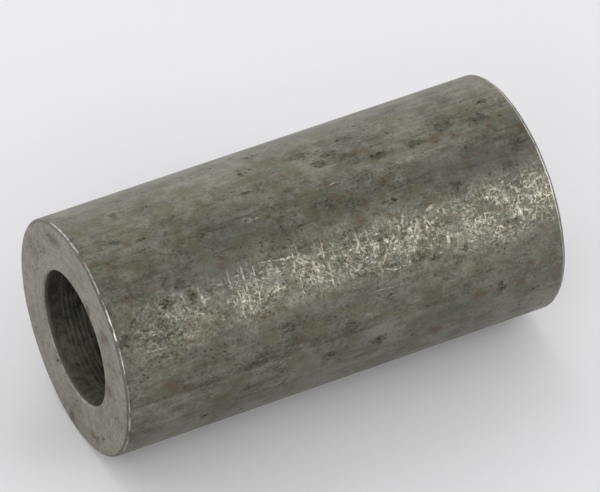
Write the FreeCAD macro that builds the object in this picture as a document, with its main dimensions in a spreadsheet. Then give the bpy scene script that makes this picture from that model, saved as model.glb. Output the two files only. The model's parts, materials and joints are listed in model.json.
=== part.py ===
"""Rigid sleeve coupling: one turned steel sleeve with a plain bore from end to end.

Frame: millimetres, +X along the bore, +Z up with the sleeve lying on its side.
Origin: on the bore's axis, half way along the sleeve, where the two shaft ends meet.
The front end is the one at -X, the back end the one at +X.
"""
import FreeCAD, Part
import Sketcher
import math
import os

SHEET_NAME = "dimensions"

# alias, value in mm, what it measures
DRIVING_DIMENSIONS = [
    ("outer_diameter", 28.0, "bar that the sleeve is turned from"),
    ("bore_diameter", 16.0, "shaft that the sleeve takes"),
    ("sleeve_length", 55.0, "over both end faces"),
    ("front_chamfer", 0.3, "outer edge at the front end, 45 degrees"),
    ("back_chamfer", 0.5, "outer edge at the back end, 45 degrees"),
    ("mouth_chamfer", 0.23, "edge at both mouths of the bore, 45 degrees"),
]

EDGE_TOLERANCE = 1e-6
VOLUME_TOLERANCE = 1e-6


def make_sheet(doc):
    """Put the driving dimensions in a spreadsheet: one row each, with the alias on its value."""
    sheet = doc.addObject("Spreadsheet::Sheet", SHEET_NAME)
    for row, (alias, value, meaning) in enumerate(DRIVING_DIMENSIONS, start=1):
        sheet.set(f"A{row}", alias)
        sheet.set(f"B{row}", str(value))
        sheet.set(f"C{row}", meaning)
        sheet.setAlias(f"B{row}", alias)
    doc.recompute()
    return sheet


def bind(feature, setting, alias):
    """Tie one setting of a feature to its cell in the sheet."""
    feature.setExpression(setting, f"{SHEET_NAME}.{alias}")


def circle_sketch(body, name, diameter_alias):
    """One circle about the bore's axis, on the body's own plane square to that axis."""
    square_plane = next(item for item in body.Origin.OriginFeatures if item.Role == "YZ_Plane")
    sketch = body.newObject("Sketcher::SketchObject", name)
    sketch.AttachmentSupport = [(square_plane, "")]
    sketch.MapMode = "FlatFace"
    circle = sketch.addGeometry(Part.Circle(FreeCAD.Vector(0, 0, 0), FreeCAD.Vector(0, 0, 1), 1.0))
    sketch.addConstraint(Sketcher.Constraint("Coincident", circle, 3, -1, 1))
    diameter = sketch.addConstraint(Sketcher.Constraint("Diameter", circle, 2.0))
    sketch.renameConstraint(diameter, "diameter")
    bind(sketch, "Constraints.diameter", diameter_alias)
    return sketch


def lathe_cut(body, kind, name, sketch, length_alias):
    """Pad or Pocket of a sketch, with equal lengths to both sides of the middle of the sleeve."""
    feature = body.newObject(kind, name)
    feature.Profile = sketch
    feature.SideType = "Symmetric"
    feature.Type = "Length"
    bind(feature, "Length", length_alias)
    return feature


def round_edge(shape, along, radius):
    """Name of the circular edge of this radius whose centre is this far along the bore's axis."""
    for number, edge in enumerate(shape.Edges, start=1):
        curve = edge.Curve
        if not isinstance(curve, Part.Circle):
            continue
        if abs(curve.Radius - radius) < EDGE_TOLERANCE and abs(curve.Center.x - along) < EDGE_TOLERANCE:
            return f"Edge{number}"
    raise RuntimeError(f"no round edge of radius {radius} at {along}")


def chamfer(body, name, places, size_alias):
    """45 degree chamfer on the round edges at these places, each (distance along, radius)."""
    base = body.Tip
    edges = [round_edge(base.Shape, along, radius) for along, radius in places]
    feature = body.newObject("PartDesign::Chamfer", name)
    feature.Base = (base, edges)
    feature.ChamferType = "Equal distance"
    bind(feature, "Size", size_alias)
    body.Document.recompute()
    return feature


def make_sleeve(doc, sheet):
    """The sleeve: a bar cut to length, bored through, with every edge broken."""
    body = doc.addObject("PartDesign::Body", "sleeve")
    body.Label = "sleeve"
    body.Placement = FreeCAD.Placement()

    bar_outline = circle_sketch(body, "bar_outline", "outer_diameter")
    lathe_cut(body, "PartDesign::Pad", "bar", bar_outline, "sleeve_length")
    doc.recompute()
    bore_outline = circle_sketch(body, "bore_outline", "bore_diameter")
    lathe_cut(body, "PartDesign::Pocket", "bore", bore_outline, "sleeve_length")
    doc.recompute()

    end = float(sheet.sleeve_length) / 2
    outer_radius = float(sheet.outer_diameter) / 2
    bore_radius = float(sheet.bore_diameter) / 2
    chamfer(body, "front_edge", [(-end, outer_radius)], "front_chamfer")
    chamfer(body, "back_edge", [(end, outer_radius)], "back_chamfer")
    chamfer(body, "mouth_edges", [(-end, bore_radius), (end, bore_radius)], "mouth_chamfer")
    return body


def corner_ring(radius, size, side):
    """Volume that a 45 degree chamfer takes off a round edge: side 1 outside, -1 in the bore."""
    triangle = size ** 2 / 2
    centroid_radius = radius - side * size / 3
    return triangle * 2 * math.pi * centroid_radius


def expected_volume(sheet):
    """Volume of the finished sleeve, worked out from the sheet alone."""
    outer_radius = float(sheet.outer_diameter) / 2
    bore_radius = float(sheet.bore_diameter) / 2
    tube = math.pi * (outer_radius ** 2 - bore_radius ** 2) * float(sheet.sleeve_length)
    outer_edges = sum(corner_ring(outer_radius, float(size), 1)
                      for size in (sheet.front_chamfer, sheet.back_chamfer))
    mouth_edges = 2 * corner_ring(bore_radius, float(sheet.mouth_chamfer), -1)
    return tube - outer_edges - mouth_edges


def check(doc, pieces, volumes):
    """Stop unless every object is sound and every piece is one valid solid of its right volume."""
    for item in doc.Objects:
        if "Invalid" in item.State or "Error" in item.State:
            raise RuntimeError(f"{item.Name} failed: {item.State}")
    for piece, volume in zip(pieces, volumes):
        shape = piece.Shape
        if shape.isNull() or not shape.isValid() or len(shape.Solids) != 1:
            raise RuntimeError(f"{piece.Label} is not one valid solid")
        if abs(shape.Volume - volume) > VOLUME_TOLERANCE * volume:
            raise RuntimeError(f"{piece.Label} has volume {shape.Volume}, not {volume}")


def main():
    """Build the document, check it and write one STEP file for each piece."""
    os.makedirs("parts", exist_ok=True)
    doc = FreeCAD.newDocument("sleeve_coupling")
    sheet = make_sheet(doc)
    sleeve = make_sleeve(doc, sheet)
    doc.recompute()
    check(doc, [sleeve], [expected_volume(sheet)])
    sleeve.Shape.exportStep(f"parts/{sleeve.Label}.step")
    print(f"{sleeve.Label}: volume {sleeve.Shape.Volume:.1f} mm3, box {sleeve.Shape.BoundBox}")


main()
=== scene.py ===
"""Rigid sleeve coupling, lying on its side on a pale studio floor.

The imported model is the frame: one turned steel sleeve, its bore along +X, its origin half way
along the bore. This script gives the sleeve its finished skin: a drawn-bar outside with scale,
pits and scuffs, turned end faces with broken edges, and a bore with the boring tool's feed rings.
"""
import json
import logging
import math
from dataclasses import dataclass
from enum import Enum
from typing import Any, Sequence, Union

import bpy
import numpy as np
from mathutils import Matrix, Vector


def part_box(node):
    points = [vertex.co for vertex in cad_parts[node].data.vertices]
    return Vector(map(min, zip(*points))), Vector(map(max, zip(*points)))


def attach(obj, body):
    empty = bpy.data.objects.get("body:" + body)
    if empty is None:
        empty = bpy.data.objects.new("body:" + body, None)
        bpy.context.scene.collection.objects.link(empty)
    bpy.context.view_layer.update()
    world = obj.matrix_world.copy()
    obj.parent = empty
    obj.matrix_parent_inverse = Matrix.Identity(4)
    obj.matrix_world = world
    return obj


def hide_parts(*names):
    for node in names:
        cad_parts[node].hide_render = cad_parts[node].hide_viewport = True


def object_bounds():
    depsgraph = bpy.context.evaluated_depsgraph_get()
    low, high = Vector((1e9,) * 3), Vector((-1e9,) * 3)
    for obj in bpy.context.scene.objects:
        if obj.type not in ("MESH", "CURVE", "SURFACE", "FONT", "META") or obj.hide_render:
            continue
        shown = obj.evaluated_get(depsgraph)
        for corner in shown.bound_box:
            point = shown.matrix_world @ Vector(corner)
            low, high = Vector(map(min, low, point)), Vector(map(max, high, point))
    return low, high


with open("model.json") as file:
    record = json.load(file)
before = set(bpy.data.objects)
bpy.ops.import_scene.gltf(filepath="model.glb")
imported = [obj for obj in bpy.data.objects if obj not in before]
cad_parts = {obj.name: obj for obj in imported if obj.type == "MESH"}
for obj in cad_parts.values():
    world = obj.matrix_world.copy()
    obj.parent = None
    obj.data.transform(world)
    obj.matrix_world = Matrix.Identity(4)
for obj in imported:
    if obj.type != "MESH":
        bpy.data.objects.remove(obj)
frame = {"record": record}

CAD_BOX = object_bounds()
MM = 0.001
TURN = 2 * math.pi
NODE = "sleeve"
BODY = "root"

log = logging.getLogger("sleeve_coupling")

Number = Union[float, int]
Colour = tuple[float, float, float]
Outline = tuple[float, tuple[float, float], float]


# ---- shader maths


class Wire:
    """One output of a shader node, with Python's operators: each adds the Math node it needs."""

    def __init__(self, graph: "Graph", socket: bpy.types.NodeSocket) -> None:
        """Wrap a socket.

        Args:
            graph: the graph that the socket's node is in.
            socket: the output socket.
        """
        self.graph = graph
        self.socket = socket

    def __add__(self, other: "Value") -> "Wire":
        """Sum."""
        return self.graph.math("ADD", self, other)

    def __radd__(self, other: "Value") -> "Wire":
        """Sum, with the number first."""
        return self.graph.math("ADD", other, self)

    def __sub__(self, other: "Value") -> "Wire":
        """Difference."""
        return self.graph.math("SUBTRACT", self, other)

    def __rsub__(self, other: "Value") -> "Wire":
        """Difference, with the number first."""
        return self.graph.math("SUBTRACT", other, self)

    def __mul__(self, other: "Value") -> "Wire":
        """Product."""
        return self.graph.math("MULTIPLY", self, other)

    def __rmul__(self, other: "Value") -> "Wire":
        """Product, with the number first."""
        return self.graph.math("MULTIPLY", other, self)

    def __truediv__(self, other: "Value") -> "Wire":
        """Quotient."""
        return self.graph.math("DIVIDE", self, other)

    def __rtruediv__(self, other: "Value") -> "Wire":
        """Quotient, with the number first."""
        return self.graph.math("DIVIDE", other, self)

    def __abs__(self) -> "Wire":
        """Size without its sign."""
        return self.graph.math("ABSOLUTE", self)


Value = Union[Wire, Number]


class Graph:
    """The node tree of one material, with a method for each kind of step that the finishes use."""

    def __init__(self, material: bpy.types.Material) -> None:
        """Start with an empty tree.

        Args:
            material: the material to fill.
        """
        material.use_nodes = True
        self.tree = material.node_tree
        self.tree.nodes.clear()

    def node(self, kind: str, settings: dict[str, Any], inputs: dict[Any, Any]) -> bpy.types.Node:
        """Add one node.

        Args:
            kind: the node's type.
            settings: attributes that are set first; "stops" is a ramp's list of (place, grey).
            inputs: values or wires, by the input's name or number.

        Returns:
            The new node.
        """
        made = self.tree.nodes.new(kind)
        for name, setting in settings.items():
            if name == "stops":
                self._set_stops(made.color_ramp, setting)
            else:
                setattr(made, name, setting)
        for name, value in inputs.items():
            if isinstance(value, Wire):
                self.tree.links.new(value.socket, made.inputs[name])
            else:
                made.inputs[name].default_value = value
        return made

    @staticmethod
    def _set_stops(ramp: bpy.types.ColorRamp, stops: list[tuple[float, Number]]) -> None:
        """Give a ramp its stops, as greys.

        Args:
            ramp: the ramp, which has two stops when it is new.
            stops: (place, grey) pairs in rising order.
        """
        while len(ramp.elements) < len(stops):
            ramp.elements.new(1.0)
        for element, (place, grey) in zip(ramp.elements, stops):
            element.position = place
            element.color = (grey, grey, grey, 1.0)

    def wire(self, node: bpy.types.Node, output: Union[str, int] = 0) -> Wire:
        """One output of a node, as a wire."""
        return Wire(self, node.outputs[output])

    def math(self, operation: str, *values: Value) -> Wire:
        """Math node on one to three values."""
        settings = {"operation": operation}
        return self.wire(self.node("ShaderNodeMath", settings, dict(enumerate(values))))

    def clamp(self, value: Value) -> Wire:
        """The value kept between 0 and 1."""
        return self.wire(self.node("ShaderNodeClamp", {}, {"Value": value}))

    def step(self, value: Value, low: Number, high: Number) -> Wire:
        """Smooth step between two values.

        Args:
            value: what is compared.
            low: the result is 0 up to here.
            high: the result is 1 from here on; if low is above high, the two change places.

        Returns:
            From 0 to 1.
        """
        settings = {"interpolation_type": "SMOOTHSTEP"}
        flip = low > high
        ends = (high, low) if flip else (low, high)
        inputs = {"Value": value, "From Min": ends[0], "From Max": ends[1],
                  "To Min": float(flip), "To Max": float(not flip)}
        return self.wire(self.node("ShaderNodeMapRange", settings, inputs))

    def ramp(self, value: Value, stops: list[tuple[float, Number]]) -> Wire:
        """A smooth curve through grey stops, for what changes round the sleeve.

        Args:
            value: place on the curve, from 0 to 1.
            stops: (place, grey) pairs in rising order.

        Returns:
            The grey at that place.
        """
        made = self.node("ShaderNodeValToRGB", {"stops": stops}, {"Fac": value})
        made.color_ramp.interpolation = "EASE"
        return self.wire(made)

    def vector(self, x: Value, y: Value, z: Value) -> Wire:
        """Three values as one vector."""
        return self.wire(self.node("ShaderNodeCombineXYZ", {}, {0: x, 1: y, 2: z}))

    def scaled(self, vector: Wire, factors: tuple[float, float, float]) -> Wire:
        """A vector times a factor along each axis."""
        settings = {"operation": "MULTIPLY"}
        return self.wire(self.node("ShaderNodeVectorMath", settings, {0: vector, 1: factors}))

    def noise(self, vector: Wire, scale: float, detail: float = 2.0, seed: float = 0.0) -> Wire:
        """Noise from 0 to 1 about 0.5.

        Args:
            vector: place, in millimetres or stretched millimetres.
            scale: features for each unit of the vector.
            detail: finer octaves.
            seed: picks another noise of the same kind.

        Returns:
            The noise's value.
        """
        inputs = {"Vector": vector, "W": seed, "Scale": scale, "Detail": detail}
        return self.wire(self.node("ShaderNodeTexNoise", {"noise_dimensions": "4D"}, inputs), "Fac")

    def cone(self, flat: Wire, middle: tuple[float, float], slant: float,
             size: tuple[float, float]) -> Wire:
        """A cone over an ellipse on the unrolled skin: 1 - sqrt((l / a)^2 + (w / b)^2), never below 0.

        Args:
            flat: place on the unrolled skin.
            middle: the ellipse's middle.
            slant: its turn, in radians.
            size: its half length a and half width b.

        Returns:
            1 at the middle, 0 at the edge and outside.
        """
        inputs = {"Vector": flat, "Location": (*middle, 0.0), "Rotation": (0.0, 0.0, slant),
                  "Scale": (*size, 1.0)}
        moved = self.node("ShaderNodeMapping", {"vector_type": "TEXTURE"}, inputs)
        settings = {"gradient_type": "SPHERICAL"}
        return self.wire(self.node("ShaderNodeTexGradient", settings, {"Vector": self.wire(moved)}), "Fac")

    def colour_mix(self, factor: Value, first: Any, second: Any) -> Wire:
        """Mix of two colours.

        Args:
            factor: 0 for the first, 1 for the second.
            first: a colour or wire.
            second: a colour or wire.

        Returns:
            The mixed colour.
        """
        sides = [side if isinstance(side, Wire) else (*side, 1.0) for side in (first, second)]
        settings = {"data_type": "RGBA", "clamp_factor": True}
        made = self.node("ShaderNodeMix", settings, {0: factor, 6: sides[0], 7: sides[1]})
        return self.wire(made, 2)

    def coats(self, colour: Wire, *coats: tuple[Value, Colour]) -> Wire:
        """Colours laid one after another over a first colour.

        Args:
            colour: the first colour.
            coats: pairs of how much a coat covers, from 0 to 1, and its colour.

        Returns:
            The colour on top.
        """
        for cover, coat in coats:
            colour = self.colour_mix(cover, colour, coat)
        return colour

    def bump(self, height: Value, distance: float, strength: float) -> Wire:
        """Normal bent by a height.

        Args:
            height: from 0 to 1.
            distance: depth in metres of a height of 1.
            strength: how much of the bend is used.

        Returns:
            The bent normal.
        """
        inputs = {"Height": height, "Distance": distance, "Strength": strength}
        return self.wire(self.node("ShaderNodeBump", {}, inputs), "Normal")

    def finish(self, colour: Wire, roughness: Wire, metallic: Value, normal: Wire) -> None:
        """Add the surface shader and the output.

        Args:
            colour: base colour.
            roughness: roughness.
            metallic: a wire or a number.
            normal: the bent normal.
        """
        inputs = {"Base Color": colour, "Roughness": roughness, "Metallic": metallic, "Normal": normal}
        shader = self.node("ShaderNodeBsdfPrincipled", {}, inputs)
        self.node("ShaderNodeOutputMaterial", {}, {"Surface": self.wire(shader, "BSDF")})


# ---- finishes


class Unrolled:
    """Places on the sleeve in a material: Object coordinates in millimetres and cylinder terms."""

    def __init__(self, graph: Graph, radius: float) -> None:
        """Work the terms out once.

        Args:
            graph: the material's graph.
            radius: outer radius in millimetres.
        """
        self.graph = graph
        coordinates = graph.wire(graph.node("ShaderNodeTexCoord", {}, {}), "Object")
        self.place = graph.scaled(coordinates, (1 / MM, 1 / MM, 1 / MM))
        parts = graph.node("ShaderNodeSeparateXYZ", {}, {0: self.place})
        self.along, self.y, self.z = (graph.wire(parts, axis) for axis in range(3))
        self.angle = graph.math("ARCTAN2", 0.0 - self.y, self.z)
        self.turn = self.angle / TURN + 0.5
        self.around = self.angle * radius
        self.flat = graph.vector(self.along, self.around, 0.0)
        self.radius = radius
        self.from_axis = graph.math("SQRT", self.y * self.y + self.z * self.z)

    def grain(self, stretch: float) -> Wire:
        """Place with the sleeve's length squeezed, so that noise on it runs in lengthwise streaks."""
        return self.graph.scaled(self.place, (1 / stretch, 1.0, 1.0))


@dataclass(frozen=True)
class Hairs:
    """Hairline marks that wander: contour lines of a noise drawn out along one heading."""

    heading: float
    stretch: float
    scale: float
    thinness: float
    seed: float

    def mask(self, here: Unrolled) -> Wire:
        """Where the marks are.

        With n a noise whose features are longer along the heading, a mark is where |n - 0.5| is
        less than the thinness, and a second noise breaks it into pieces.

        Args:
            here: places on the sleeve.

        Returns:
            1 in a mark, 0 off it.
        """
        graph = here.graph
        cosine, sine = math.cos(math.radians(self.heading)), math.sin(math.radians(self.heading))
        run = here.along * cosine + here.around * sine
        side = here.around * cosine - here.along * sine
        swell = graph.noise(graph.vector(run / self.stretch, side, 0.0), self.scale, 1.5, self.seed)
        broken = graph.noise(here.place, 1.2, 3.0, self.seed + 5.0)
        thin = graph.step(abs(swell - 0.5), self.thinness, self.thinness * 0.3)
        return thin * graph.step(broken, 0.47, 0.60)


@dataclass(frozen=True)
class Mark:
    """A mark at one place on the skin: an ellipse that fades out. Lengths in mm, angles in degrees."""

    along: float
    around: float

    def outline(self, radius: float) -> Outline:
        """Slant, half length with half width, and strength: each kind of mark gives its own."""
        raise NotImplementedError

    def mask(self, here: Unrolled, flat: Wire) -> Wire:
        """A cone over the mark's ellipse.

        Args:
            here: places on the sleeve.
            flat: the flat sheet that the mark is laid out on.

        Returns:
            The mark's strength in its middle, 0 off it.
        """
        slant, size, strength = self.outline(here.radius)
        middle = (self.along, math.radians(self.around) * here.radius)
        return here.graph.cone(flat, middle, slant, size) * strength


@dataclass(frozen=True)
class Stroke(Mark):
    """One deep scratch, which thins out to both ends."""

    slant: float
    length: float
    width: float = 0.16
    depth: float = 0.8

    def outline(self, radius: float) -> Outline:
        """A narrow ellipse, a little longer and wider than the scratch that shows."""
        return math.radians(self.slant), (self.length * 0.6, self.width * 0.8), self.depth


@dataclass(frozen=True)
class Patch(Mark):
    """A wide area, as long as its length and as wide as its sweep round the sleeve."""

    length: float
    sweep: float
    strength: float

    def outline(self, radius: float) -> Outline:
        """A wide ellipse, square to the sleeve."""
        return 0.0, (self.length / 2, math.radians(self.sweep / 2) * radius), self.strength


def largest(here: Unrolled, flat: Wire, marks: Sequence[Mark]) -> Wire:
    """The strongest of several marks at each place.

    Args:
        here: places on the sleeve.
        flat: the flat sheet that the marks are laid out on.
        marks: strokes or areas.

    Returns:
        The strongest mark's strength.
    """
    total: Value = 0.0
    for mark in marks:
        total = here.graph.math("MAXIMUM", total, mark.mask(here, flat))
    return total


@dataclass(frozen=True)
class DrawnSkin:
    """Outside of the sleeve: dark skin of drawn bar with streaks, pits, rust specks and scuffs, painted
    light and shade in lengthwise bands round it, and a strip of painted shade beside both ends.
    """

    radius: float
    half_length: float
    # the skin's tone runs from dark to light; the painted light and shade bands move it up and down
    dark: Colour = (0.060, 0.059, 0.044)
    light: Colour = (0.220, 0.216, 0.177)
    cool: Colour = (0.125, 0.129, 0.117)
    rust: Colour = (0.118, 0.086, 0.055)
    moss: Colour = (0.119, 0.126, 0.078)
    # pits; also laid on for the stains and for the painted shade beside both ends
    pit: Colour = (0.042, 0.034, 0.020)
    steel: Colour = (0.665, 0.630, 0.535)
    metallic: float = 0.85

    # painted light and shade: lighter and darker lengthwise bands that stand for the surroundings'
    # reflections on the skin, fixed round the sleeve; place round the sleeve in turns from the underside,
    # grey
    LIGHT_AND_SHADE_BANDS = [(0.0, 0.45), (0.10, 0.55), (0.22, 0.42), (0.30, 0.50), (0.37, 0.56), (0.40, 0.66),
             (0.45, 0.64), (0.48, 0.58), (0.526, 0.58), (0.541, 0.64), (0.546, 0.50), (0.578, 0.48),
             (0.584, 0.60), (0.61, 0.58), (0.65, 0.50), (0.685, 0.58), (0.692, 0.50), (0.741, 0.43),
             (0.746, 0.70), (0.80, 0.72), (0.84, 0.76), (0.90, 0.52), (1.0, 0.45)]

    # thin dark lines that the drawing die left: degrees from the top towards the front
    DIE_LINES = [3.5, 15.5, 28.6, 87.0, 128.0, 171.0, -61.0, -95.0, -140.0]

    # where the skin has been rubbed by other parts
    RUBBED = [
        Patch(3, 50, 86, 40, 0.8), Patch(-20.5, 53, 17, 46, 1.05), Patch(-11.2, 53, 4.6, 42, 1),
        Patch(-3.2, 51, 8, 38, 0.85), Patch(3, 50, 7, 30, 0.7), Patch(9.4, 51, 12, 38, 0.95),
        Patch(20.5, 52.5, 23, 42, 1.15), Patch(25, 50, 8, 38, 1), Patch(10, -80, 30, 34, 0.8),
        Patch(-15, -120, 22, 26, 0.7), Patch(-4, 150, 34, 26, 0.7), Patch(20, 165, 16, 24, 0.6),
        Patch(-7, 18, 6, 7, 0.5), Patch(12, 15, 16, 5, 0.5),
    ]

    # hairline scratches: along the sleeve, round it, slanting both ways, and in no direction
    HAIRS = [
        Hairs(2.0, 7.0, 1.1, 0.026, 31.0), Hairs(88.0, 6.0, 1.0, 0.026, 32.0),
        Hairs(-52.0, 5.0, 0.9, 0.024, 33.0), Hairs(38.0, 5.0, 0.9, 0.024, 34.0),
        Hairs(0.0, 1.0, 0.8, 0.018, 35.0),
    ]

    # the deepest scratches, one by one
    STROKES = [
        Stroke(-12.1, 55, 90, 4.6, 0.2), Stroke(-11.05, 50, 91, 7.4, 0.2, 0.95),
        Stroke(-12.6, 42, 90, 2.4, 0.16), Stroke(-9.65, 44, 92, 3.6, 0.16),
        Stroke(-9.9, 53, 100, 2.8, 0.14), Stroke(-16.3, 45, 86, 2.6, 0.34, 0.6),
        Stroke(-16, 47, 4, 1.2, 0.2), Stroke(-18.4, 43, 80, 1.4, 0.3, 0.5),
        Stroke(-6.8, 39.8, 9, 4.8, 0.14), Stroke(-5.4, 41, 7, 2, 0.2, 0.95),
        Stroke(-4.8, 44.5, 96, 3, 0.18), Stroke(-4, 41, 88, 2.8, 0.18, 0.9),
        Stroke(-2.9, 49.3, 3, 2.6, 0.2, 0.95), Stroke(-4, 45.5, 42, 2, 0.14),
        Stroke(-1.2, 43, 100, 3.2, 0.16), Stroke(-1, 54.5, 84, 3.6, 0.18),
        Stroke(-8.3, 54, -12, 4.4, 0.16), Stroke(-4.7, 58, 90, 4.6, 0.14, 0.6),
        Stroke(-2.7, 58, 96, 3.6, 0.14, 0.6), Stroke(-7.5, 42, 85, 1.4, 0.16),
        Stroke(-23, 61.5, 4, 3.6, 0.16, 0.5), Stroke(-14.2, 42, 30, 1.2, 0.2),
        Stroke(3.1, 45, -57, 3, 0.22, 0.9), Stroke(4.8, 47.6, 8, 2.9, 0.14),
        Stroke(6.3, 52.2, -50, 5, 0.26, 0.9), Stroke(8.2, 43, 86, 2.2, 0.3),
        Stroke(9, 41, -65, 1.6, 0.22), Stroke(10.1, 46.8, -56, 2.9, 0.2, 0.9),
        Stroke(11.7, 45.2, 58, 1.9, 0.2), Stroke(12.5, 40.2, -22, 1.5, 0.34),
        Stroke(13.3, 42.3, -65, 1, 0.26), Stroke(6.4, 61.3, 12, 3.2, 0.18, 0.9),
        Stroke(4.9, 60.5, 80, 1, 0.2), Stroke(8.3, 61.3, -60, 1.2, 0.2), Stroke(5.5, 41.3, 20, 1, 0.4),
        Stroke(13.6, 56, 80, 1.4, 0.42), Stroke(12.8, 60.8, -18, 2.4, 0.18),
        Stroke(18.5, 51, 5, 3.4, 0.16), Stroke(19, 53.6, 3, 2.8, 0.2), Stroke(20.4, 48, 45, 1.8, 0.16),
        Stroke(22.4, 51.6, 3, 2.6, 0.14), Stroke(25.6, 53.4, -10, 2.2, 0.18),
        Stroke(23.6, 55.6, 24, 3, 0.14), Stroke(25, 45, -28, 2.2, 0.18), Stroke(19.4, 60, 70, 1, 0.24),
        Stroke(9.4, 47.5, 90, 1, 0.22), Stroke(-6.8, 18.6, -8, 3.6, 0.14, 0.55),
        Stroke(3.2, 14.4, 6, 1.4, 0.18, 0.6), Stroke(5.4, 69.6, 1, 6, 0.1, 0.4),
        Stroke(16.4, 14, 2, 3, 0.14, 0.5),
    ]

    # darker stains, mostly where pits crowd
    STAINS = [
        Patch(-20.3, 43, 3, 9, 0.8), Patch(-17.4, 44, 1.8, 12, 0.9), Patch(-15.2, 44, 1.6, 8, 0.7),
        Patch(-18.2, 36.5, 2.6, 8, 0.9), Patch(5.8, 45.5, 3.2, 9, 0.8), Patch(9.6, 60, 3.4, 9, 0.9),
        Patch(11.5, 63, 3, 6, 0.9), Patch(15.6, 62, 3, 9, 0.7), Patch(16.3, 34, 3, 7, 0.8),
        Patch(20.5, 35, 2.2, 6, 0.7), Patch(-21.1, -11.4, 1.4, 7, 1), Patch(-23, 6.6, 2.6, 4, 0.9),
        Patch(-20, 9.6, 2, 3, 1), Patch(-25.2, 2.3, 1.6, 3, 0.7), Patch(-3.3, -23, 4, 11, 0.7),
        Patch(-5.5, -10, 1, 6, 0.8), Patch(-6.3, 3.6, 2.4, 4, 0.8), Patch(3.1, 1, 3.2, 7, 1),
        Patch(1.5, -9, 5, 9, 0.8), Patch(4.9, -3.6, 3, 8, 0.9), Patch(9.9, 7.4, 5, 8, 0.8),
        Patch(14.4, 7.4, 5, 8, 0.8), Patch(18.4, 3, 4.6, 8, 0.9), Patch(22.6, 5.6, 6, 9, 0.8),
        Patch(24.4, -3.6, 2.6, 6, 0.8), Patch(8.5, 31.8, 4, 5, 0.7), Patch(23.1, 32.8, 3, 4, 0.7),
        Patch(-10, 34, 3, 4, 0.7), Patch(-12.7, 100, 1.4, 5, 0.9), Patch(-17.8, 111, 1.6, 6, 0.9),
        Patch(-2.5, 96, 2.8, 9, 0.8), Patch(3.7, 97, 3.4, 10, 0.9), Patch(19, 91, 1.8, 12, 0.9),
        Patch(23.6, 99, 3, 6, 0.7), Patch(-12.7, 119, 1, 6, 0.8), Patch(-22.5, 66, 9, 8, 0.5),
        Patch(8, 22, 22, 9, 0.35), Patch(-14, 24, 22, 8, 0.35),
    ]

    def material(self) -> bpy.types.Material:
        """Build the material.

        Returns:
            The finished material.
        """
        material = bpy.data.materials.new("drawn_skin")
        graph = Graph(material)
        here = Unrolled(graph, self.radius)

        clouds = graph.noise(here.place, 0.16, 3.0, 1.0)
        mottle = graph.noise(here.grain(1.7), 0.8, 5.0, 2.0)
        grit = graph.noise(here.grain(1.4), 3.6, 2.0, 3.0)
        streaks = graph.noise(here.grain(20.0), 1.8, 4.0, 4.0)
        # painted light and shade: the tone lifted and lowered in lengthwise bands round the sleeve, and a
        # little darker towards the front end
        bands = graph.ramp(here.turn, self.LIGHT_AND_SHADE_BANDS)
        tone = (clouds - 0.5) * 1.1 + (mottle - 0.5) * 1.55
        tone = tone + (grit - 0.5) * 1.5 + (streaks - 0.5) * 0.8
        tone = tone + bands - graph.step(here.along, -18.0, -26.0) * 0.09
        colour = graph.colour_mix(graph.clamp(tone), self.dark, self.light)
        colour = self._tinted(here, colour, grit)

        stains = graph.step(largest(here, here.flat, self.STAINS), 0.0, 0.7)
        crowd = graph.step(graph.noise(here.place, 0.30, 3.0, 7.0), 0.48, 0.66)
        pits = self._pits(here, graph.clamp(crowd * 0.6 + stains))
        rubbed = self._rubbed(here)
        stain_and_shade = self._stain_and_shade(here, stains, grit, rubbed)
        scuffs = self._scuffs(here, rubbed) * (1.0 - pits * 0.8) * (1.0 - stain_and_shade * 0.5)
        lines = self._die_lines(here)
        # the first coat is the stains together with the painted shade beside both ends
        colour = graph.coats(colour, (stain_and_shade * 0.55, self.pit), (lines * 0.5, self.pit),
                             (pits * 0.8, self.pit), (scuffs, self.steel))

        rough = 0.47 + (mottle - 0.5) * 0.25 + (grit - 0.5) * 0.25 + pits * 0.2
        rough = graph.clamp(rough - scuffs * 0.20)
        metallic = graph.clamp(self.metallic + scuffs * 0.15)

        height = mottle * 0.35 + grit * 0.45 + streaks * 0.25
        normal = graph.bump(height, 0.08 * MM, 0.9)
        graph.finish(colour, rough, metallic, normal)
        return material

    def _tinted(self, here: Unrolled, colour: Wire, grit: Wire) -> Wire:
        """The skin's colour with cooler, greener and rustier areas.

        Args:
            here: places on the sleeve.
            colour: the skin's own colour.
            grit: the finest grain, which breaks up the rust.

        Returns:
            The tinted colour.
        """
        graph = here.graph
        cool = graph.step(graph.noise(here.grain(3.0), 0.16, 3.0, 15.0), 0.50, 0.68)
        moss = graph.step(graph.noise(here.grain(1.4), 0.55, 4.0, 5.0), 0.50, 0.66)
        rust = graph.noise(here.grain(1.3), 0.9, 6.0, 6.0) + (grit - 0.5) * 0.3
        rust = graph.step(rust, 0.52, 0.72)
        return graph.coats(colour, (cool * 0.65, self.cool), (moss * 0.65, self.moss),
                           (rust * 0.78, self.rust))

    def _stain_and_shade(self, here: Unrolled, stains: Wire, grit: Wire, rubbed: Wire) -> Wire:
        """Dark stained skin with painted shade: ragged stains, a strip of painted shade beside both ends,
        and specks left by the rubbing.

        Args:
            here: places on the sleeve.
            stains: the stains' masks.
            grit: the finest grain.
            rubbed: how rubbed the skin is.

        Returns:
            How dark the stains and the painted shade make the skin, from 0 to 1.
        """
        graph = here.graph
        ragged = graph.noise(here.grain(1.3), 1.9, 4.0, 14.0)
        stain_and_shade = graph.step(ragged + stains * 0.29, 0.58, 0.80)
        # painted shade: a dark strip on the skin just beside each end, all round
        beside = abs(here.along) + (ragged - 0.5) * 0.9
        beside = graph.step(beside, self.half_length - 0.52, self.half_length - 0.30)
        stain_and_shade = graph.math("MAXIMUM", stain_and_shade, beside * 0.6)
        return graph.math("MAXIMUM", stain_and_shade, graph.step(grit, 0.48, 0.36) * rubbed * 0.8)

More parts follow.
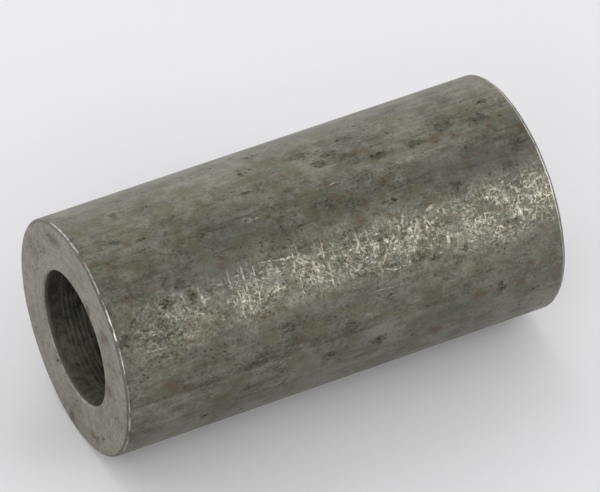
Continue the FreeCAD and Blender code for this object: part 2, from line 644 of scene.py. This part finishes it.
    def _die_lines(self, here: Unrolled) -> Wire:
        """Thin lengthwise lines, broken up along their length.

        Args:
            here: places on the sleeve.

        Returns:
            1 on a line, 0 off it.
        """
        graph = here.graph
        total: Value = 0.0
        waver = (graph.noise(here.grain(3.0), 0.4, 3.0, 8.0) - 0.5) * 0.5
        for number, degrees in enumerate(self.DIE_LINES):
            offset = abs(here.around - math.radians(degrees) * self.radius + waver)
            broken = graph.noise(graph.scaled(here.place, (0.30, 0.0, 0.0)), 1.0, 4.0, 20.0 + number)
            total = total + graph.step(offset, 0.16, 0.02) * graph.step(broken, 0.40, 0.66)
        return graph.clamp(total)

    @staticmethod
    def _pits(here: Unrolled, crowd: Wire) -> Wire:
        """Small dark pits, thick where they crowd together and sparse elsewhere.

        Args:
            here: places on the sleeve.
            crowd: 1 where pits crowd.

        Returns:
            1 in a pit, 0 off it.
        """
        ragged = here.graph.noise(here.grain(1.3), 2.8, 4.0, 9.0)
        return here.graph.step(ragged + crowd * 0.12, 0.66, 0.73)

    def _rubbed(self, here: Unrolled) -> Wire:
        """The rubbed areas, with ragged outlines.

        Args:
            here: places on the sleeve.

        Returns:
            How rubbed the skin is, from 0 to 1.
        """
        graph = here.graph
        total = graph.step(largest(here, here.flat, self.RUBBED), 0.0, 0.75)
        ragged = graph.noise(here.grain(1.3), 0.6, 4.0, 10.0)
        return graph.clamp(total * graph.step(ragged, 0.24, 0.54))

    def _deep_strokes(self, here: Unrolled) -> Wire:
        """The deep scratches, which wander a little and break up along their length.

        Args:
            here: places on the sleeve.

        Returns:
            How deep the scratch is, from 0 to 1.
        """
        graph = here.graph
        push = (graph.noise(here.place, 0.6, 2.0, 17.0) - 0.5) * 0.8
        inputs = {0: here.flat, 1: graph.vector(push, 0.0 - push, 0.0)}
        wandering = graph.wire(graph.node("ShaderNodeVectorMath", {"operation": "ADD"}, inputs))
        strokes = graph.step(largest(here, wandering, self.STROKES), 0.0, 0.5)
        fill = graph.noise(here.place, 2.8, 3.0, 12.0)
        return strokes * graph.step(fill, 0.36, 0.60)

    def _scuffs(self, here: Unrolled, rubbed: Wire) -> Wire:
        """Bare steel: flecks and hairlines in the rubbed areas, and deep strokes.

        Args:
            here: places on the sleeve.
            rubbed: how rubbed the skin is.

        Returns:
            How bare the steel is, from 0 to 1.
        """
        graph = here.graph
        broad = graph.step(graph.noise(here.place, 2.2, 4.0, 11.0) + rubbed * 0.08, 0.52, 0.74)
        dashes = graph.noise(here.grain(2.2), 3.6, 2.0, 18.0)
        crossing = graph.noise(graph.scaled(here.place, (1.0, 0.4, 0.4)), 4.0, 2.0, 19.0)
        dashes = graph.step(graph.math("MAXIMUM", dashes, crossing) + rubbed * 0.05, 0.62, 0.71)
        hairs: Value = 0.0
        for family in self.HAIRS:
            hairs = graph.math("MAXIMUM", hairs, family.mask(here))
        calm = graph.step(here.along, -12.0, -17.0)
        flecks = broad * 0.22 + dashes * (0.52 - calm * 0.20) + hairs * (0.42 - calm * 0.34)
        marks = flecks * rubbed + hairs * 0.04
        marks = graph.math("MAXIMUM", marks, self._deep_strokes(here) * 0.8)
        worn = graph.step(graph.noise(here.place, 1.3, 3.0, 16.0), 0.32, 0.60)
        return graph.clamp(marks * (worn * 0.5 + 0.5))


@dataclass(frozen=True)
class TurnedFace:
    """End faces and broken edges: bare turned steel gone grey, with faint rings and stains, painted shade
    on the chamfers, and wear with a painted highlight along the rim's ridge.
    """

    radius: float
    edge: float
    dark: Colour = (0.180, 0.173, 0.141)
    light: Colour = (0.318, 0.307, 0.258)
    stain: Colour = (0.150, 0.118, 0.078)
    moss: Colour = (0.165, 0.172, 0.112)
    # dark specks; also laid on the chamfers as painted shade
    speck: Colour = (0.05, 0.045, 0.033)
    # bare steel, laid on the rim's ridge as wear and painted highlight
    steel: Colour = (0.60, 0.585, 0.54)
    metallic: float = 0.85

    # how bright the rim's ridge is: wear together with a painted edge highlight, strongest on the upper
    # front; place round the sleeve in turns from the underside, from 0 to 1
    RIM_WEAR_AND_HIGHLIGHT = [(0.0, 0.25), (0.43, 0.30), (0.46, 0.80), (0.50, 0.80), (0.52, 0.50), (0.56, 0.95),
           (0.62, 1.0), (0.70, 0.85), (0.74, 0.55), (0.90, 0.35), (1.0, 0.25)]

    # stains on the front face; here a patch's first number is its distance from the axis
    BROWN = [
        Patch(11.9, -24, 3, 28, 1), Patch(10.4, -43, 2.2, 13, 0.8), Patch(11.2, 51, 4.6, 17, 1),
        Patch(9.2, 91, 2.6, 17, 0.9), Patch(12.6, -176, 3, 15, 0.8), Patch(12, 157, 2.4, 14, 0.8),
        Patch(8.8, 26, 2.2, 13, 0.8), Patch(9, 132, 2.4, 15, 0.6),
    ]
    MOSSY = [
        Patch(11.8, 149, 2.4, 26, 1), Patch(11, -62, 6.4, 50, 0.65), Patch(11, 70, 6.4, 24, 0.65),
        Patch(9, -145, 3.2, 22, 0.9), Patch(12.8, -31, 2, 16, 0.9), Patch(10, 178, 4, 26, 0.6),
    ]

    def material(self) -> bpy.types.Material:
        """Build the material.

        Returns:
            The finished material.
        """
        material = bpy.data.materials.new("turned_face")
        graph = Graph(material)
        here = Unrolled(graph, self.radius)
        clouds = graph.noise(here.place, 0.28, 3.0, 1.0)
        mottle = graph.noise(here.place, 1.1, 4.0, 2.0)
        grit = graph.noise(here.place, 3.6, 3.0, 3.0)
        rings_at = graph.vector(here.from_axis, here.along * 0.05, 0.0)
        rings = graph.noise(rings_at, 7.0, 3.0, 4.0)
        tone = 0.62 + (clouds - 0.5) * 1.4 + (mottle - 0.5) * 2.1
        tone = tone + (grit - 0.5) * 2.4 + (rings - 0.5) * 1.5
        colour = graph.colour_mix(graph.clamp(tone), self.dark, self.light)
        polar = graph.vector(here.from_axis, here.around, 0.0)
        front = graph.step(here.along, 1.0, -1.0)
        brown = largest(here, polar, self.BROWN) * front
        mossy = largest(here, polar, self.MOSSY) * front
        stain = graph.step(graph.noise(here.place, 0.7, 6.0, 5.0) + brown * 0.40, 0.57, 0.80)
        moss = graph.step(graph.noise(here.place, 0.8, 6.0, 8.0) + mossy * 0.28, 0.57, 0.78)
        specks = graph.noise(here.place, 1.9, 3.0, 7.0) + graph.clamp(brown * 0.6 + mossy) * 0.10
        specks = graph.step(specks, 0.64, 0.72)
        # painted shade: the chamfer, from where the edge starts outwards, darkened at both ends all round
        edge_starts = self.radius - self.edge
        shaded_chamfer = graph.step(here.from_axis, edge_starts - 0.04, edge_starts + 0.04)
        # wear and a painted highlight along the outer rim's ridge
        worn = self._rim_wear_and_highlight(here, 1.0 - front)
        colour = graph.coats(colour, (stain * 0.9, self.stain), (moss * 0.7, self.moss),
                             (specks * 0.7, self.speck), (shaded_chamfer * 0.55, self.speck),
                             (worn * 0.9, self.steel))
        rough = graph.clamp(0.52 + (mottle - 0.5) * 0.25 + specks * 0.2 - worn * 0.18)
        height = rings * 0.5 + grit * 0.3 + mottle * 0.25 - specks * 0.5
        normal = graph.bump(height, 0.04 * MM, 0.7)
        graph.finish(colour, rough, self.metallic, normal)
        return material

    def _rim_wear_and_highlight(self, here: Unrolled, back: Wire) -> Wire:
        """Bare steel colour on the outer edge's ridge, wear together with a painted edge highlight: in
        stretches at the front, all round at the back.

        Args:
            here: places on the sleeve.
            back: 1 on the back half, 0 on the front half.

        Returns:
            How much steel colour, wear and painted highlight together, is laid on, from 0 to 1.
        """
        graph = here.graph
        ridge = here.from_axis + (graph.noise(here.place, 0.9, 4.0, 6.0) - 0.5) * 0.35
        unbroken = graph.step(graph.noise(here.place, 0.8, 5.0, 9.0), 0.40, 0.56)
        unbroken = graph.math("MAXIMUM", unbroken, back * 0.7)
        worn = graph.math("MAXIMUM", graph.ramp(here.turn, self.RIM_WEAR_AND_HIGHLIGHT), back * 0.55) * unbroken
        return worn * graph.step(ridge, self.radius - 0.12, self.radius - 0.03)


@dataclass(frozen=True)
class BoredWall:
    """Wall of the bore: dull steel with rust; painted light near the mouths, most on the lower side, makes
    it darker the deeper it goes, and painted highlights lie on the feed rings' crests.
    """

    radius: float
    half_length: float
    feed: float
    dark: Colour = (0.050, 0.048, 0.040)
    light: Colour = (0.170, 0.166, 0.145)
    rust: Colour = (0.130, 0.085, 0.055)
    # light colour for the painted highlights on the ring crests and the painted light on the lower wall
    # near the mouths
    entry: Colour = (0.290, 0.285, 0.215)
    # light colour for the painted light just inside the mouths
    mouth: Colour = (0.300, 0.295, 0.250)
    metallic: float = 0.8

    def material(self) -> bpy.types.Material:
        """Build the material.

        Returns:
            The finished material.
        """
        material = bpy.data.materials.new("bored_wall")
        graph = Graph(material)
        here = Unrolled(graph, self.radius)
        clouds = graph.noise(here.place, 0.3, 3.0, 1.0)
        mottle = graph.noise(here.place, 1.3, 4.0, 2.0)
        grit = graph.noise(here.place, 6.0, 2.0, 3.0)
        tone = 0.45 + (clouds - 0.5) * 1.4 + (mottle - 0.5) * 1.8 + (grit - 0.5) * 2.0
        colour = graph.colour_mix(graph.clamp(tone), self.dark, self.light)
        rust = graph.step(graph.noise(here.place, 0.5, 4.0, 4.0), 0.55, 0.70)
        end = self.half_length
        from_middle = abs(here.along)
        # painted highlights: the feed rings' crests lighter, in patches, from about 2 mm inside the ends
        wave = here.along * (TURN / self.feed) - here.angle + (mottle - 0.5) * 1.2
        crests = graph.step(graph.math("COSINE", wave), 0.30, 0.95)
        patchy = graph.step(graph.noise(here.place, 0.5, 3.0, 5.0), 0.34, 0.60)
        inside = graph.step(from_middle, end - 1.7, end - 2.3)
        # painted light: lighter towards both mouths, most on the lower side, and a light band just inside
        # each mouth; deeper in, the wall keeps its dark tone
        low = graph.step(here.z, -3.0, -7.5)
        entry = graph.step(from_middle + (mottle - 0.5) * 5.0, end - 6.5, end - 0.5)
        gritty = graph.step(grit + (mottle - 0.5), 0.34, 0.62)
        painted_light_low_entry = entry * (low * 0.7 + 0.04) * (gritty * 0.45 + 0.55)
        mouth = graph.step(from_middle, end - 0.85, end - 0.2)
        colour = graph.coats(colour, (rust * 0.5, self.rust), (crests * patchy * inside * 0.7, self.entry),
                             (painted_light_low_entry, self.entry), (mouth * 0.85, self.mouth))
        rough = graph.clamp(0.48 + (mottle - 0.5) * 0.3)
        normal = graph.bump(mottle * 0.4 + grit * 0.4, 0.04 * MM, 0.7)
        graph.finish(colour, rough, self.metallic, normal)
        return material


# ---- the sleeve


class Surface(Enum):
    """Which finish a row of faces wears; the value is its place in the mesh's materials."""

    SKIN = 0
    TURNED = 1
    BORED = 2


@dataclass
class Rows:
    """Rows of points round the bore's axis, along one stretch of the section."""

    along: np.ndarray
    radius: np.ndarray
    surface: Surface


@dataclass
class Sleeve:
    """The turned sleeve, as one closed mesh. Sizes in millimetres.

    The section is carried round the X axis. Its outside and end faces have fine columns, so that
    nicks and die lines are real; its bore has coarser columns and close rows, so that the boring
    tool's rings are real. The two meet on the end faces, on a circle.
    """

    half_length: float
    outer_radius: float
    bore_radius: float
    front_edge: float = 0.32
    back_edge: float = 0.50
    mouth_edge: float = 0.23
    edge_fullness: float = 1.45
    join_radius: float = 9.4
    fine_columns: int = 960
    coarse_columns: int = 120
    feed: float = 0.57
    samples_per_feed: int = 4
    ring_height: float = 0.035
    rings_start: float = 1.3
    rings_fade_in: float = 4.0
    close_rows_start: float = 1.1
    first_gap: float = 0.02
    skin_rows: int = 22
    outer_edge_rows: int = 9
    mouth_edge_rows: int = 7
    entry_rows: int = 5
    groove_depth: float = 0.018
    groove_width: float = 0.14
    dents_per_edge: int = 46
    front_dent: float = 0.22
    back_dent: float = 0.10
    front_seed: int = 11
    back_seed: int = 12

    # waves round the sleeve: how many, how high, and where the first one starts, in radians
    SKIN_LOBES = ((5, 0.006, 0.7), (13, 0.003, 2.1))
    EDGE_WAVES = ((3, 0.05, 1.0), (7, 0.04, 0.0), (19, 0.03, 2.0))

    # rows on the end faces, as shares of the way out to the edge, and of the way in to the mouth
    OUTWARD_SHARES = (0.0, 0.45, 0.85, 0.985)
    INWARD_SHARES = (0.15, 0.9)

    @classmethod
    def from_frame(cls) -> "Sleeve":
        """Read the sleeve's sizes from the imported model.

        Returns:
            A sleeve of the right size.
        """
        low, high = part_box(NODE)
        bore = next(mount for mount in frame["record"]["mounts"] if mount["name"] == "bore")
        return cls(half_length=(high[0] - low[0]) / 2 / MM,
                   outer_radius=min(high[1], high[2], -low[1], -low[2]) / MM,
                   bore_radius=bore["dims"]["r_mm"])

    def _edge_curve(self, count: int) -> tuple[np.ndarray, np.ndarray]:
        """A worn edge's shape in the unit square, from the end face to the round wall.

        With a from 0 to a quarter turn and p the fullness, the point is
        (1 - cos(a)^(2/p), 1 - sin(a)^(2/p)): p of 1 is a flat 45 degree chamfer, 2 a round.

        Args:
            count: points on the curve.

        Returns:
            Depth from the end face and depth from the wall, each from 0 to 1.
        """
        angle = np.linspace(0.0, math.pi / 2, count)
        power = 2 / self.edge_fullness
        return 1 - np.cos(angle) ** power, 1 - np.sin(angle) ** power

    def _nicks(self, columns: int, width: float, depth: float, seed: int) -> np.ndarray:
        """Width of a broken edge round the sleeve.

        Slow waves, plus dents: each dent adds a bell curve of its own height and spread at its own
        angle.

        Args:
            columns: number of angles.
            width: the edge's nominal width.
            depth: the deepest dent, as a part of the width.
            seed: picks the dents.

        Returns:
            One width for each column.
        """
        draw = np.random.default_rng(seed)
        angle = np.arange(columns) / columns * TURN
        middle = draw.uniform(0, TURN, self.dents_per_edge)
        spread = draw.uniform(0.006, 0.03, self.dents_per_edge)
        height = width * depth * draw.uniform(0.1, 1.0, self.dents_per_edge) ** 2
        apart = (angle[:, None] - middle + math.pi) % TURN - math.pi
        dents = (height * np.exp(-(apart / spread) ** 2)).sum(1)
        waves = sum(high * np.sin(count * angle + start) for count, high, start in self.EDGE_WAVES)
        return width * (1 + waves) + dents

    def _skin_depth(self, angle: np.ndarray) -> np.ndarray:
        """How far the drawn skin lies below the full radius: shallow lobes and narrow die grooves.

        A lobe is high * (1 + cos(count * angle + start)); a groove is a bell curve across its line.

        Args:
            angle: angles from the top towards the front.

        Returns:
            Depth at each angle, never negative.
        """
        lobes = sum(high * (1 + np.cos(count * angle + start)) for count, high, start in self.SKIN_LOBES)
        lines = np.radians(DrawnSkin.DIE_LINES)
        apart = (angle[:, None] - lines + math.pi) % TURN - math.pi
        grooves = np.exp(-(apart * self.outer_radius / self.groove_width) ** 2).sum(1)
        return lobes + self.groove_depth * grooves

    def _outside_rows(self) -> list[Rows]:
        """The section from the join on the front face, over the outside, to the join on the back.

        Returns:
            Stretches of rows, each array being rows by columns.
        """
        columns = self.fine_columns
        angle = np.arange(columns) / columns * TURN
        wall = self.outer_radius - self._skin_depth(angle)
        front = self._nicks(columns, self.front_edge, self.front_dent, self.front_seed)
        back = self._nicks(columns, self.back_edge, self.back_dent, self.back_seed)
        end = self.half_length
        depth_in, depth_down = (curve[:, None] for curve in self._edge_curve(self.outer_edge_rows))

        shares = np.array(self.OUTWARD_SHARES)[:, None]
        front_face = self.join_radius + (wall - front - self.join_radius) * shares
        back_face = self.join_radius + (wall - back - self.join_radius) * shares[::-1]
        flat = np.ones_like(front_face)
        steps = np.linspace(0.0, 1.0, self.skin_rows + 2)[1:-1, None]
        skin_along = (-end + front) * (1 - steps) + (end - back) * steps
        return [
            Rows(-end * flat, front_face, Surface.TURNED),
            Rows(-end + front * depth_in, wall - front * depth_down, Surface.TURNED),
            Rows(skin_along, wall * np.ones_like(skin_along), Surface.SKIN),
            Rows(end - back * depth_in[::-1], wall - back * depth_down[::-1], Surface.TURNED),
            Rows(end * flat, back_face, Surface.TURNED),
        ]

    def _bore_rows(self) -> list[Rows]:
        """The section from the join on the back face, through the bore, to the join on the front.

        The wall stands at radius - height * fade * wave. Here wave = (1 + cos(whole turn * x / feed
        - angle)) / 2 is a helix of one feed for each turn, and fade rises smoothly from 0 to 1 from
        where the rings start.

        Returns:
            Stretches of rows, each array being rows by columns.
        """
        columns = self.coarse_columns
        angle = np.arange(columns) / columns * TURN
        end, edge = self.half_length, self.mouth_edge
        mouth = self.bore_radius + edge
        depth_in, depth_down = (curve[:, None] * np.ones(columns)
                                for curve in self._edge_curve(self.mouth_edge_rows))

        step = self.feed / self.samples_per_feed
        inner_end = end - self.close_rows_start
        ringed = np.linspace(inner_end, -inner_end, int(2 * inner_end / step))
        entry = np.linspace(end - edge - self.first_gap, inner_end + step, self.entry_rows)
        along = np.concatenate([entry, ringed, -entry[::-1]])[:, None] * np.ones(columns)
        wave = (1 + np.cos(TURN * along / self.feed - angle)) / 2
        depth = end - np.abs(along)
        fade = np.clip((depth - self.rings_start) / self.rings_fade_in, 0, 1) ** 0.7
        wall = self.bore_radius - self.ring_height * fade * wave

        shares = np.array(self.INWARD_SHARES)[:, None] * np.ones(columns)
        back_face = self.join_radius + (mouth - self.join_radius) * shares
        front_face = self.join_radius + (mouth - self.join_radius) * shares[::-1]
        edge_along = end - edge * depth_in
        edge_radius = self.bore_radius + edge * depth_down
        return [
            Rows(end * np.ones_like(shares), back_face, Surface.TURNED),
            Rows(edge_along, edge_radius, Surface.TURNED),
            Rows(along, wall, Surface.BORED),
            Rows(-edge_along[::-1], edge_radius[::-1], Surface.TURNED),
            Rows(-end * np.ones_like(shares), front_face, Surface.TURNED),
        ]

    @staticmethod
    def _points(rows: list[Rows], columns: int) -> np.ndarray:
        """Rows as points: x along, y = -radius * sin(angle), z = radius * cos(angle).

        Args:
            rows: stretches of rows.
            columns: points in a row.

        Returns:
            Rows by columns by 3.
        """
        angle = np.arange(columns) / columns * TURN
        along = np.concatenate([stretch.along for stretch in rows])
        radius = np.concatenate([stretch.radius for stretch in rows])
        return np.stack([along, -radius * np.sin(angle), radius * np.cos(angle)], axis=2)

    @staticmethod
    def _ring_quads(first: int, rows: int, columns: int) -> np.ndarray:
        """Four-cornered faces between neighbouring rows of a closed ring grid.

        Args:
            first: number of the grid's first point.
            rows: rows in the grid.
            columns: points in a row.

        Returns:
            Faces by 4 point numbers.
        """
        grid = first + np.arange(rows * columns).reshape(rows, columns)
        after = np.roll(grid, -1, axis=1)
        corners = [grid[:-1], grid[1:], after[1:], after[:-1]]
        return np.stack([corner.ravel() for corner in corners], axis=1)

    def _join_faces(self, fine: int, coarse: int) -> np.ndarray:
        """Three-cornered faces between a fine ring and a coarse ring of the same circle's angles.

        Each coarse step spans several fine steps: its first half fans from the coarse step's start,
        its second half from its end, and one face closes the gap between the two fans.

        Args:
            fine: number of the fine ring's first point.
            coarse: number of the coarse ring's first point.

        Returns:
            Faces by 3 point numbers, running from the coarse ring out to the fine one.
        """
        ratio = self.fine_columns // self.coarse_columns
        half = ratio // 2
        start = np.arange(self.coarse_columns)[:, None]
        here, following = coarse + start, coarse + (start + 1) % self.coarse_columns
        fans = start * ratio + np.arange(ratio)
        near, far = fine + fans, fine + (fans + 1) % self.fine_columns
        apex = np.where(np.arange(ratio) < half, here, following)
        fan_faces = np.stack([apex, near, far], axis=2).reshape(-1, 3)
        middle = fine + start * ratio + half
        gap_faces = np.concatenate([here, middle, following], axis=1)
        return np.concatenate([fan_faces, gap_faces])

    def build(self) -> bpy.types.Object:
        """Build and dress the sleeve's mesh.

        Returns:
            The finished piece.
        """
        outside, bore = self._outside_rows(), self._bore_rows()
        outer = self._points(outside, self.fine_columns)
        inner = self._points(bore, self.coarse_columns)
        first_inner = outer.shape[0] * outer.shape[1]
        points = np.concatenate([outer.reshape(-1, 3), inner.reshape(-1, 3)]) * MM

        quads = np.concatenate([
            self._ring_quads(0, outer.shape[0], self.fine_columns),
            self._ring_quads(first_inner, inner.shape[0], self.coarse_columns),
        ])
        last_fine = first_inner - self.fine_columns
        last_coarse = first_inner + (inner.shape[0] - 1) * self.coarse_columns
        front_join = self._join_faces(0, last_coarse)
        back_join = self._join_faces(last_fine, first_inner)[:, ::-1]
        wears = np.concatenate([
            self._row_surfaces(outside, self.fine_columns),
            self._row_surfaces(bore, self.coarse_columns),
            np.full(len(front_join) + len(back_join), Surface.TURNED.value),
        ])
        triangles = np.concatenate([front_join, back_join])
        mesh = self._mesh(points, quads, triangles, wears)
        piece = bpy.data.objects.new("sleeve_finish", mesh)
        bpy.context.scene.collection.objects.link(piece)
        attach(piece, BODY)
        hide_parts(NODE)
        return piece

    @staticmethod
    def _row_surfaces(rows: list[Rows], columns: int) -> np.ndarray:
        """Which finish each face of a ring grid wears.

        A face lies between two rows, and wears what its first row wears, unless that is turned:
        then it wears what its second row wears.

        Args:
            rows: stretches of rows.
            columns: points in a row.

        Returns:
            A finish number for each face.
        """
        worn = np.concatenate([np.full(len(stretch.along), stretch.surface.value) for stretch in rows])
        turned = worn[:-1] == Surface.TURNED.value
        return np.repeat(np.where(turned, worn[1:], worn[:-1]), columns)

    def _mesh(self, points: np.ndarray, quads: np.ndarray, triangles: np.ndarray,
              wears: np.ndarray) -> bpy.types.Mesh:
        """Put the arrays into a mesh, with its faces turned outwards.

        The signed volume of a closed shell is the sum over its faces of a . (b x c) / 6; if it
        comes out negative, every face is turned round.

        Args:
            points: points by 3, in metres.
            quads: faces with four corners.
            triangles: faces with three corners.
            wears: finish number of each face, quads first.

        Returns:
            The mesh, smooth shaded and dressed.
        """
        halves = np.concatenate([quads[:, [0, 1, 2]], quads[:, [0, 2, 3]], triangles])
        a, b, c = (points[halves[:, corner]] for corner in range(3))
        volume = (a * np.cross(b, c)).sum() / 6
        if volume < 0:
            quads, triangles = quads[:, ::-1], triangles[:, ::-1]
        log.info("sleeve shell: %d triangles, %.1f mm3", len(halves), abs(volume) / MM ** 3)

        mesh = bpy.data.meshes.new("sleeve_finish")
        corners = np.concatenate([quads.ravel(), triangles.ravel()]).astype(np.int32)
        sizes = np.concatenate([np.full(len(quads), 4), np.full(len(triangles), 3)])
        starts = np.concatenate([[0], np.cumsum(sizes)[:-1]]).astype(np.int32)
        mesh.vertices.add(len(points))
        mesh.vertices.foreach_set("co", points.astype(np.float32).ravel())
        mesh.loops.add(len(corners))
        mesh.loops.foreach_set("vertex_index", corners)
        mesh.polygons.add(len(sizes))
        mesh.polygons.foreach_set("loop_start", starts)
        mesh.polygons.foreach_set("material_index", wears.astype(np.int32))
        mesh.polygons.foreach_set("use_smooth", np.ones(len(sizes), dtype=bool))
        mesh.update(calc_edges=True)
        mesh.validate()
        for finish in (DrawnSkin(self.outer_radius, self.half_length),
                       TurnedFace(self.outer_radius, self.front_edge),
                       BoredWall(self.bore_radius, self.half_length, self.feed)):
            mesh.materials.append(finish.material())
        return mesh


# ---- studio


@dataclass(frozen=True)
class SoftLamp:
    """A soft rectangular lamp aimed at the sleeve. Angles in degrees, lengths in metres, power in watts.

    Azimuth 0 is in front of the sleeve, at -Y, and 90 is at +X.
    """

    name: str
    azimuth: float
    elevation: float
    power: float
    distance: float = 1.2
    width: float = 0.8
    height: float = 0.7
    colour: Colour = (1.0, 1.0, 1.0)

    def build(self) -> bpy.types.Object:
        """Make the lamp.

        Returns:
            The lamp's object.
        """
        data = bpy.data.lights.new(self.name, "AREA")
        data.shape = "RECTANGLE"
        data.size = self.width
        data.size_y = self.height
        data.energy = self.power
        data.color = self.colour
        lamp = bpy.data.objects.new(self.name, data)
        around, above = math.radians(self.azimuth), math.radians(self.elevation)
        outwards = Vector((math.sin(around) * math.cos(above), -math.cos(around) * math.cos(above),
                           math.sin(above)))
        lamp.location = outwards * self.distance
        lamp.rotation_euler = outwards.to_track_quat("Z", "Y").to_euler()
        bpy.context.scene.collection.objects.link(lamp)
        return lamp


@dataclass
class Studio:
    """Pale floor, soft lamps, even surroundings and the camera. Lengths in metres."""

    floor_level: float
    floor_size: float = 8.0
    floor_colour: Colour = (0.80, 0.795, 0.81)
    surround: Colour = (0.60, 0.60, 0.605)
    lamps: tuple[SoftLamp, ...] = (
        SoftLamp("back_low", 180.0, 14.0, 2.0),
        SoftLamp("back_high", 180.0, 55.0, 2.0),
        SoftLamp("back_left", -135.0, 14.0, 2.3),
        SoftLamp("back_right", 135.0, 14.0, 2.2),
        SoftLamp("right_low", 90.0, 14.0, 1.7),
        SoftLamp("front_right_low", 45.0, 14.0, 2.6),
        SoftLamp("front_right", 45.0, 32.0, 2.0),
        SoftLamp("front_left_low", -45.0, 14.0, 0.75),
        SoftLamp("front_left", -45.0, 32.0, 3.1),
        SoftLamp("top", 0.0, 90.0, 0.35),
    )

    # the camera stands off along this direction and looks past the sleeve's middle by a little
    camera_azimuth: float = -26.87
    camera_elevation: float = 42.22
    camera_distance: float = 0.75110
    camera_lens: float = 399.0
    sensor_width: float = 36.0
    aim_right: float = 0.00074
    aim_up: float = 0.00200

    def build(self) -> None:
        """Make the floor, the surroundings, the lamps and the camera."""
        self._floor()
        self._world()
        for lamp in self.lamps:
            lamp.build()
        self._camera()

    def _floor(self) -> None:
        """A flat pale floor that the sleeve lies on."""
        half = self.floor_size / 2
        corners = [(-half, -half), (half, -half), (half, half), (-half, half)]
        mesh = bpy.data.meshes.new("floor")
        mesh.from_pydata([(x, y, self.floor_level) for x, y in corners], [], [(0, 1, 2, 3)])
        material = bpy.data.materials.new("floor_paper")
        graph = Graph(material)
        place = graph.wire(graph.node("ShaderNodeTexCoord", {}, {}), "Object")
        fibre = graph.noise(place, 900.0, 2.0, 1.0)
        darker = tuple(part * 0.985 for part in self.floor_colour)
        colour = graph.colour_mix(fibre, darker, self.floor_colour)
        shader = graph.node("ShaderNodeBsdfPrincipled", {}, {"Base Color": colour, "Roughness": 0.9,
                                                             "Specular IOR Level": 0.1})
        graph.node("ShaderNodeOutputMaterial", {}, {"Surface": graph.wire(shader, "BSDF")})
        mesh.materials.append(material)
        floor = bpy.data.objects.new("floor", mesh)
        bpy.context.scene.collection.objects.link(floor)

    def _world(self) -> None:
        """Even pale surroundings."""
        world = bpy.data.worlds.new("surroundings")
        bpy.context.scene.world = world
        world.use_nodes = True
        background = world.node_tree.nodes["Background"]
        background.inputs["Color"].default_value = (*self.surround, 1.0)
        background.inputs["Strength"].default_value = 1.0

    def _camera(self) -> None:
        """A long lens from the front left, above the sleeve."""
        around, above = math.radians(self.camera_azimuth), math.radians(self.camera_elevation)
        back = Vector((math.sin(around) * math.cos(above), -math.cos(around) * math.cos(above),
                       math.sin(above)))
        right = Vector((math.cos(around), math.sin(around), 0.0))
        up = back.cross(right)
        aim = right * self.aim_right + up * self.aim_up
        data = bpy.data.cameras.new("camera")
        data.lens = self.camera_lens
        data.sensor_width = self.sensor_width
        data.clip_start = 0.01
        data.clip_end = 20.0
        camera = bpy.data.objects.new("camera", data)
        axes = Matrix((right, up, back)).transposed().to_4x4()
        camera.matrix_world = Matrix.Translation(aim + back * self.camera_distance) @ axes
        bpy.context.scene.collection.objects.link(camera)
        bpy.context.scene.camera = camera


def main() -> None:
    logging.basicConfig(level=logging.INFO, format="%(message)s")
    bpy.context.scene.view_settings.view_transform = "Standard"
    studio = Studio(floor_level=CAD_BOX[0].z)
    studio.build()
    log.info("studio: %d lamps, camera at %.0f mm lens", len(studio.lamps), studio.camera_lens)
    sleeve = Sleeve.from_frame()
    piece = sleeve.build()
    log.info("%s: %d faces", piece.name, len(piece.data.polygons))


if __name__ == "__main__":
    main()
